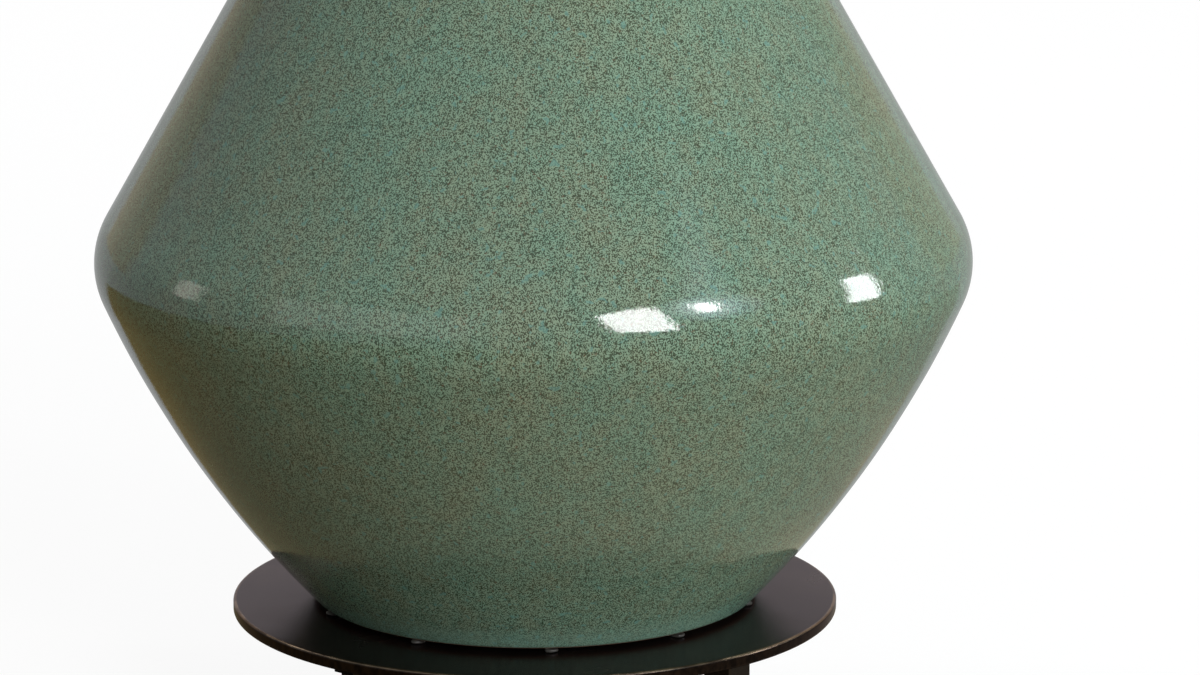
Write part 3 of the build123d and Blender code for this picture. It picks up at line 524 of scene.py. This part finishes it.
def frosted_finish():
    """Soft white frosted glass: fine powdery coat inside clear glass."""
    f = Finish("frosted_glass", Roughness=0.32, IOR=1.5, Transmission_Weight=0.25)
    powder = f.noise(700, 3.0, 0.6)
    f.to("Base Color", f.blend(f.spread(powder, 0.3, 0.7), (0.80, 0.80, 0.77), (0.87, 0.87, 0.85)))
    f.to("Normal", f.relief(powder, 0.000008))
    return f.material


def clear_finish():
    """Clear drawn glass with faint draw lines."""
    f = Finish("clear_glass", Roughness=0.04, IOR=1.5, Transmission_Weight=0.9)
    lines = f.noise(300, 1.0, 0.5, f.placed(scale=(1, 1, 0.1)))
    f.to("Base Color", f.blend(lines, (0.84, 0.87, 0.86), (0.92, 0.94, 0.93)))
    f.to("Normal", f.relief(lines, 0.00002))
    return f.material


def linen_finish():
    """Natural linen on a card backing: plain weave of 0.6 mm threads, threads of slightly different shade,
    long slubs round the shade and fewer up it. UV is in metres, round and up the shade."""
    thread = 0.0006
    dark_flax, pale_flax, slub_flax = (0.53, 0.485, 0.395), (0.68, 0.64, 0.555), (0.43, 0.38, 0.295)

    f = Finish("natural_linen", Roughness=0.85, Sheen_Weight=0.15)
    uv = f.node("ShaderNodeTexCoord").outputs["UV"]
    split = f.node("ShaderNodeSeparateXYZ", {0: uv})

    def yarns(per_metre_round, per_metre_up, turn, shift, detail, rough):
        """Noise drawn out into threads, turned a little so that round and up never line up in squares."""
        size = (per_metre_round, per_metre_up, 1)
        laid = f.placed(scale=size, turn=(0, 0, turn), shift=(*shift, 0), start=uv)
        return f.noise(1.0, detail, rough, laid)

    def weave_wave(along):
        """sin(2 pi along / thread)."""
        return f.maths("SINE", f.times(along, 2 * math.pi / thread))

    weave = f.times(weave_wave(split.outputs["X"]), weave_wave(split.outputs["Y"]))
    across = yarns(42, 1900, 0.35, (0, 0), 2.0, 0.5)
    upward = yarns(1900, 55, 0.4, (0.3, 0.1), 2.0, 0.5)
    shades = f.spread(f.plus(f.times(across, 0.6), f.times(upward, 0.4)), 0.36, 0.66)
    tone = f.blend(shades, dark_flax, pale_flax)
    weft = f.spread(yarns(16, 620, 0.3, (0.7, 0.2), 1.0, 0.4), 0.62, 0.74)
    warp = f.spread(yarns(700, 24, 0.3, (0.1, 0.9), 1.0, 0.4), 0.66, 0.78)
    slubs = f.maths("MAXIMUM", weft, f.times(warp, 0.6))
    f.to("Base Color", f.blend(f.times(slubs, 0.45), tone, slub_flax))
    shape = f.plus(f.times(weave, 0.25), f.times(shades, 0.6))
    f.to("Normal", f.relief(f.plus(shape, f.times(slubs, 0.5)), 0.00012))
    return f.material


def card_finish():
    """Matt white styrene lining, very faintly mottled."""
    f = Finish("white_lining", Roughness=0.55)
    mottle = f.noise(90, 3.0, 0.6)
    f.to("Base Color", f.blend(mottle, (0.80, 0.79, 0.75), (0.86, 0.85, 0.82)))
    f.to("Normal", f.relief(f.noise(1200, 2.0), 0.00001))
    return f.material


finishes = {
    "bronze": bronze_finish(),
    "felt": felt_finish(),
    "glaze": glaze_finish(),
    "clear_silicone": silicone_finish(),
    "black_rubber": moulded_finish("black_rubber", (0.018, 0.018, 0.018), (0.034, 0.034, 0.034), 0.75),
    "black_plastic": moulded_finish("black_plastic", (0.016, 0.015, 0.015), (0.028, 0.027, 0.026), 0.42),
    "zinc_steel": metal_finish("zinc_steel", (0.42, 0.41, 0.38), (0.62, 0.61, 0.58), 0.34),
    "antique_brass": metal_finish("antique_brass", (0.17, 0.110, 0.052), (0.33, 0.225, 0.115), 0.33),
    "contact_brass": metal_finish("contact_brass", (0.52, 0.37, 0.15), (0.68, 0.50, 0.23), 0.25),
    "fibre": moulded_finish("pressed_fibre", (0.07, 0.062, 0.055), (0.125, 0.112, 0.10), 0.85,
                            scale=500, depth=0.0001),
    "phenolic": moulded_finish("brown_phenolic", (0.024, 0.018, 0.015), (0.045, 0.034, 0.028), 0.38),
    "aluminium": metal_finish("rolled_aluminium", (0.60, 0.60, 0.58), (0.78, 0.78, 0.76), 0.3,
                              stretch=(0.2, 0.2, 3)),
    "black_glass": moulded_finish("black_base_glass", (0.010, 0.010, 0.012), (0.022, 0.022, 0.026), 0.12,
                                  scale=300),
    "solder": metal_finish("dull_solder", (0.40, 0.40, 0.41), (0.58, 0.58, 0.59), 0.42, stretch=(1, 1, 1)),
    "frosted_glass": frosted_finish(),
    "clear_glass": clear_finish(),
    "filament_wire": metal_finish("drawn_wire", (0.32, 0.32, 0.32), (0.48, 0.48, 0.48), 0.3),
    "linen": linen_finish(),
    "white_liner": card_finish(),
}


def dress(piece, slot):
    """Gives a piece the finish of one of the record's slots."""
    piece.data.materials.clear()
    piece.data.materials.append(finishes[slot])


for part in frame["record"]["subparts"]:
    dress(nodes[part["node"]], part["material_slot"])


def new_piece(piece, body, slot, *stands_for):
    """Seats a new piece: it rides on a body, has a slot's finish and stands for CAD nodes."""
    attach(piece, body)
    dress(piece, slot)
    if stands_for:
        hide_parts(*stands_for)
    return piece


# ---- pieces -------------------------------------------------------------------------------------
new_piece(turned_piece("glazed_jar", jar_profile(), JAR_SPOKES, throwing_marks), "root", "glaze", "jar_body")
new_piece(turned_piece("round_plate", plate_profile(), PLATE_SPOKES), "root", "bronze", "base_plate")
for i in range(BEAD_COUNT):
    bead = silicone_bead(f"silicone_bead_{i}", BEAD_FIRST + i * 360 / BEAD_COUNT)
    new_piece(bead, "root", "clear_silicone", *(["jar_pads"] if i == 0 else []))

linen = new_piece(linen_skin(), "shade", "linen", "shade_fabric")
tape_top = new_piece(binding("binding_top", SHADE_HIGH, 1), "shade", "linen", "shade_trim_top")
tape_bottom = new_piece(binding("binding_bottom", SHADE_LOW, -1), "shade", "linen", "shade_trim_bottom")


# ---- studio -------------------------------------------------------------------------------------
def softbox(name, bearing, lift, size, radiance, turn=(0.0, 0.0, 0.0), shape="RECTANGLE", tint=WHITE):
    """Flat lamp of a size in metres, LAMP_DISTANCE from the lamp's axis at LIT_LEVEL. It faces that point and
    is then turned about its own upright, level and facing axes in degrees. Its power comes from the radiance
    that its face shows."""
    lamp = bpy.data.lights.new(name, "AREA")
    lamp.shape = shape
    lamp.size, lamp.size_y = size
    face = size[0] * size[1] * (math.pi / 4 if shape == "ELLIPSE" else 1.0)
    lamp.energy = radiance * face * math.pi
    lamp.color = tint
    holder = bpy.data.objects.new(name, lamp)
    bpy.context.scene.collection.objects.link(holder)
    out = direction(bearing, lift)
    holder.location = Vector((0.0, 0.0, LIT_LEVEL)) * MM + out * LAMP_DISTANCE
    upright, level, facing = (math.radians(a) for a in turn)
    spin = Matrix.Rotation(upright, 3, "Y") @ Matrix.Rotation(level, 3, "X") @ Matrix.Rotation(facing, 3, "Z")
    holder.rotation_mode = "QUATERNION"
    holder.rotation_quaternion = out.to_track_quat("Z", "Y") @ spin.to_quaternion()
    holder.visible_camera = False


softbox("key", 19.0, 18.7, (1.264, 1.288), 17.6, (51.0, -8.7, 5.6))
softbox("lamp_high", 40.8, 27.5, (0.335, 0.60), 22.0, shape="ELLIPSE")
softbox("lamp_high_spill", 43.0, 27.0, (1.33, 1.55), 1.6, shape="ELLIPSE", tint=(0.60, 0.88, 1.0))
softbox("lamp_high_glow", 42.0, 27.0, (0.86, 1.10), 2.4, shape="ELLIPSE", tint=(0.70, 0.9, 1.0))
softbox("side_right", 88.6, 16.2, (0.541, 1.30), 15.5, (-11.2, 29.8, -18.4), tint=(0.94, 0.99, 1.0))
softbox("side_left", -104.0, 10.0, (0.5, 0.7), 1.6, tint=(1.0, 0.94, 0.84))
softbox("front_left", -48.0, 14.0, (3.0, 1.5), 0.55, tint=(1.0, 0.95, 0.90))
softbox("overhead", 0.0, 88.0, (2.4, 2.4), 0.25)
softbox("rear_left", -140.0, 48.0, (1.2, 1.2), 3.0)
softbox("rear_right", 140.0, 48.0, (1.2, 1.2), 2.5)
softbox("rear_middle", 176.0, 42.0, (1.8, 1.2), 4.5)


def studio_world():
    """Plain studio: white where the camera looks past the lamp. Glossy and clear surfaces see the pale sweep
    behind the lamp, a warm wall beside it and the dimmer room, and everything else gets an even fill."""
    room_low, room_high, sweep = (0.36, 0.39, 0.39), (0.42, 0.46, 0.47), (0.52, 0.53, 0.53)
    wall_rear, wall_front, fill = (0.50, 0.44, 0.34), (0.38, 0.34, 0.27), (0.10, 0.10, 0.105)

    world = bpy.data.worlds.new("studio")
    bpy.context.scene.world = world
    w = Shading(world, "Generated")
    swing = w.swing()
    room = w.blend(w.spread(w.height(), -0.05, 0.6), room_low, room_high)
    wall = w.blend(w.spread(swing, 0.49, 0.87), wall_rear, wall_front)
    room = w.blend(w.spread(swing, 0.90, 0.86), room, wall)
    room = w.blend(w.spread(swing, 0.470, 0.460), room, sweep)
    ray = w.node("ShaderNodeLightPath").outputs
    seen = w.blend(ray["Is Camera Ray"], room, WHITE)
    shown = w.maths("MAXIMUM", ray["Is Camera Ray"], ray["Is Glossy Ray"])
    shown = w.maths("MAXIMUM", shown, ray["Is Transmission Ray"])
    back = w.node("ShaderNodeBackground", {"Color": w.blend(shown, fill, seen)})
    w.node("ShaderNodeOutputWorld", {0: back.outputs[0]})


def floor_in_gloss(f, away, side):
    """Colour that a glossy surface sees in the floor, a painted reflection: a table top with painted light
    from the right, darker olive to the left and lighter warm to the right, dim at its right end, with other
    shades close to the lamp and a black painted shadow under the plate. Past the table's edge it sees a grey
    floor, and behind the lamp the pale sweep."""
    olive, warm, dim = (0.22, 0.16, 0.06), (0.48, 0.38, 0.27), (0.27, 0.26, 0.22)
    near_olive, near_warm, near_dim = (0.19, 0.16, 0.09), (0.50, 0.44, 0.31), (0.32, 0.31, 0.25)
    grey_floor, sweep, painted_shadow_under_plate = (0.36, 0.38, 0.37), (0.44, 0.45, 0.45), (0.02, 0.016, 0.012)

    # Painted light and shade in the reflection: darker olive on the left, lighter warm on the right, here and
    # close to the lamp.
    table = f.blend(f.spread(side, -0.25, 0.10), olive, warm)
    table = f.blend(f.spread(side, 0.17, 0.29), table, dim)
    near = f.blend(f.spread(side, -0.14, 0.06), near_olive, near_warm)
    near = f.blend(f.spread(side, 0.10, 0.18), near, near_dim)
    table = f.blend(f.spread(away, 0.18, 0.30), near, table)
    seen = f.blend(f.spread(away, 0.84, 0.90), table, grey_floor)
    seen = f.blend(f.spread(f.swing(), 0.76, 0.74), seen, sweep)
    # Painted shadow: black where the floor lies under the plate.
    return f.blend(f.spread(away, 0.095, 0.125), painted_shadow_under_plate, seen)


def floor_bounce(f, away, side):
    """Colour of the light that the floor throws back: brown to the left, cream to the right, shaded close to
    the lamp."""
    brown, cream, shade = (0.16, 0.13, 0.10), (0.49, 0.41, 0.31), (0.40, 0.42, 0.42)
    lit = f.blend(f.spread(side, -0.45, 0.30), brown, cream)
    shaded = f.blend(1.0, lit, shade, "MULTIPLY")
    return f.blend(f.spread(away, 0.10, 0.60), shaded, lit)


def floor_finish():
    """Pale floor. The camera sees it glow almost white, with the lamp's shadow left faintly in it. Glossy
    surfaces see the colours of floor_in_gloss. Other light bounces off a matt floor in the colours of
    floor_bounce."""
    camera_glow = 0.88

    material = bpy.data.materials.new("pale_floor")
    f = Shading(material)
    ray = f.node("ShaderNodeLightPath").outputs
    by_camera = ray["Is Camera Ray"]
    away = f.node("ShaderNodeVectorMath", {0: f.where}, operation="LENGTH").outputs["Value"]
    side = f.node("ShaderNodeSeparateXYZ", {0: f.where}).outputs["X"]
    bounce = f.blend(by_camera, floor_bounce(f, away, side), WHITE)
    mirrored = f.blend(by_camera, floor_in_gloss(f, away, side), WHITE)
    plain = f.node("ShaderNodeBsdfDiffuse", {"Color": bounce})
    glow = f.node("ShaderNodeEmission", {"Color": mirrored})
    share = f.maths("MAXIMUM", f.times(by_camera, camera_glow), ray["Is Glossy Ray"])
    mixed = f.node("ShaderNodeMixShader", {0: share, 1: plain.outputs[0], 2: glow.outputs[0]})
    f.node("ShaderNodeOutputMaterial", {0: mixed.outputs[0]})
    return material


def pale_floor():
    """Round floor of 14 m radius, just under z = 0, drawn as rings whose radius grows as the square of the
    ring's number."""
    rings, spokes = 24, 96
    reach, pole, below = 14.0, 1e-4, 0.0002
    r = (np.linspace(0.0, 1.0, rings) ** 2 * reach)[:, None] + pole
    a = np.linspace(0, 2 * np.pi, spokes, endpoint=False)[None, :]
    grid = np.stack([r * np.cos(a), r * np.sin(a), -below + 0 * r * a], axis=-1)
    floor = close_poles(mesh_piece("floor", grid.reshape(-1, 3), quads_of(rings, spokes, False, True)))
    if floor.data.polygons[0].normal.z < 0:
        floor.data.flip_normals()
    floor.data.materials.append(floor_finish())


studio_world()
pale_floor()


# ---- camera -------------------------------------------------------------------------------------
def set_camera():
    """Camera of the photograph, in mm from the lamp's foot and swung VIEW_SWING round its axis: a long lens
    1.5 m in front, looking 12.41 degrees down."""
    sideways, ahead, up = 21.6, -1500.0, 461.1
    look_down = 12.41
    data = bpy.data.cameras.new("camera")
    data.sensor_width = 36.0
    data.lens = 140.3
    data.clip_start, data.clip_end = 0.05, 100.0
    camera = bpy.data.objects.new("camera", data)
    bpy.context.scene.collection.objects.link(camera)
    turn = Matrix.Rotation(VIEW_SWING, 3, "Z")
    pitch = Matrix.Rotation(math.radians(90 - look_down), 3, "X")
    camera.location = turn @ Vector((sideways, ahead, up)) * MM
    camera.rotation_mode = "QUATERNION"
    camera.rotation_quaternion = (turn @ pitch).to_quaternion()
    bpy.context.scene.camera = camera


set_camera()
bpy.context.scene.view_settings.view_transform = "Standard"
bpy.context.view_layer.update()
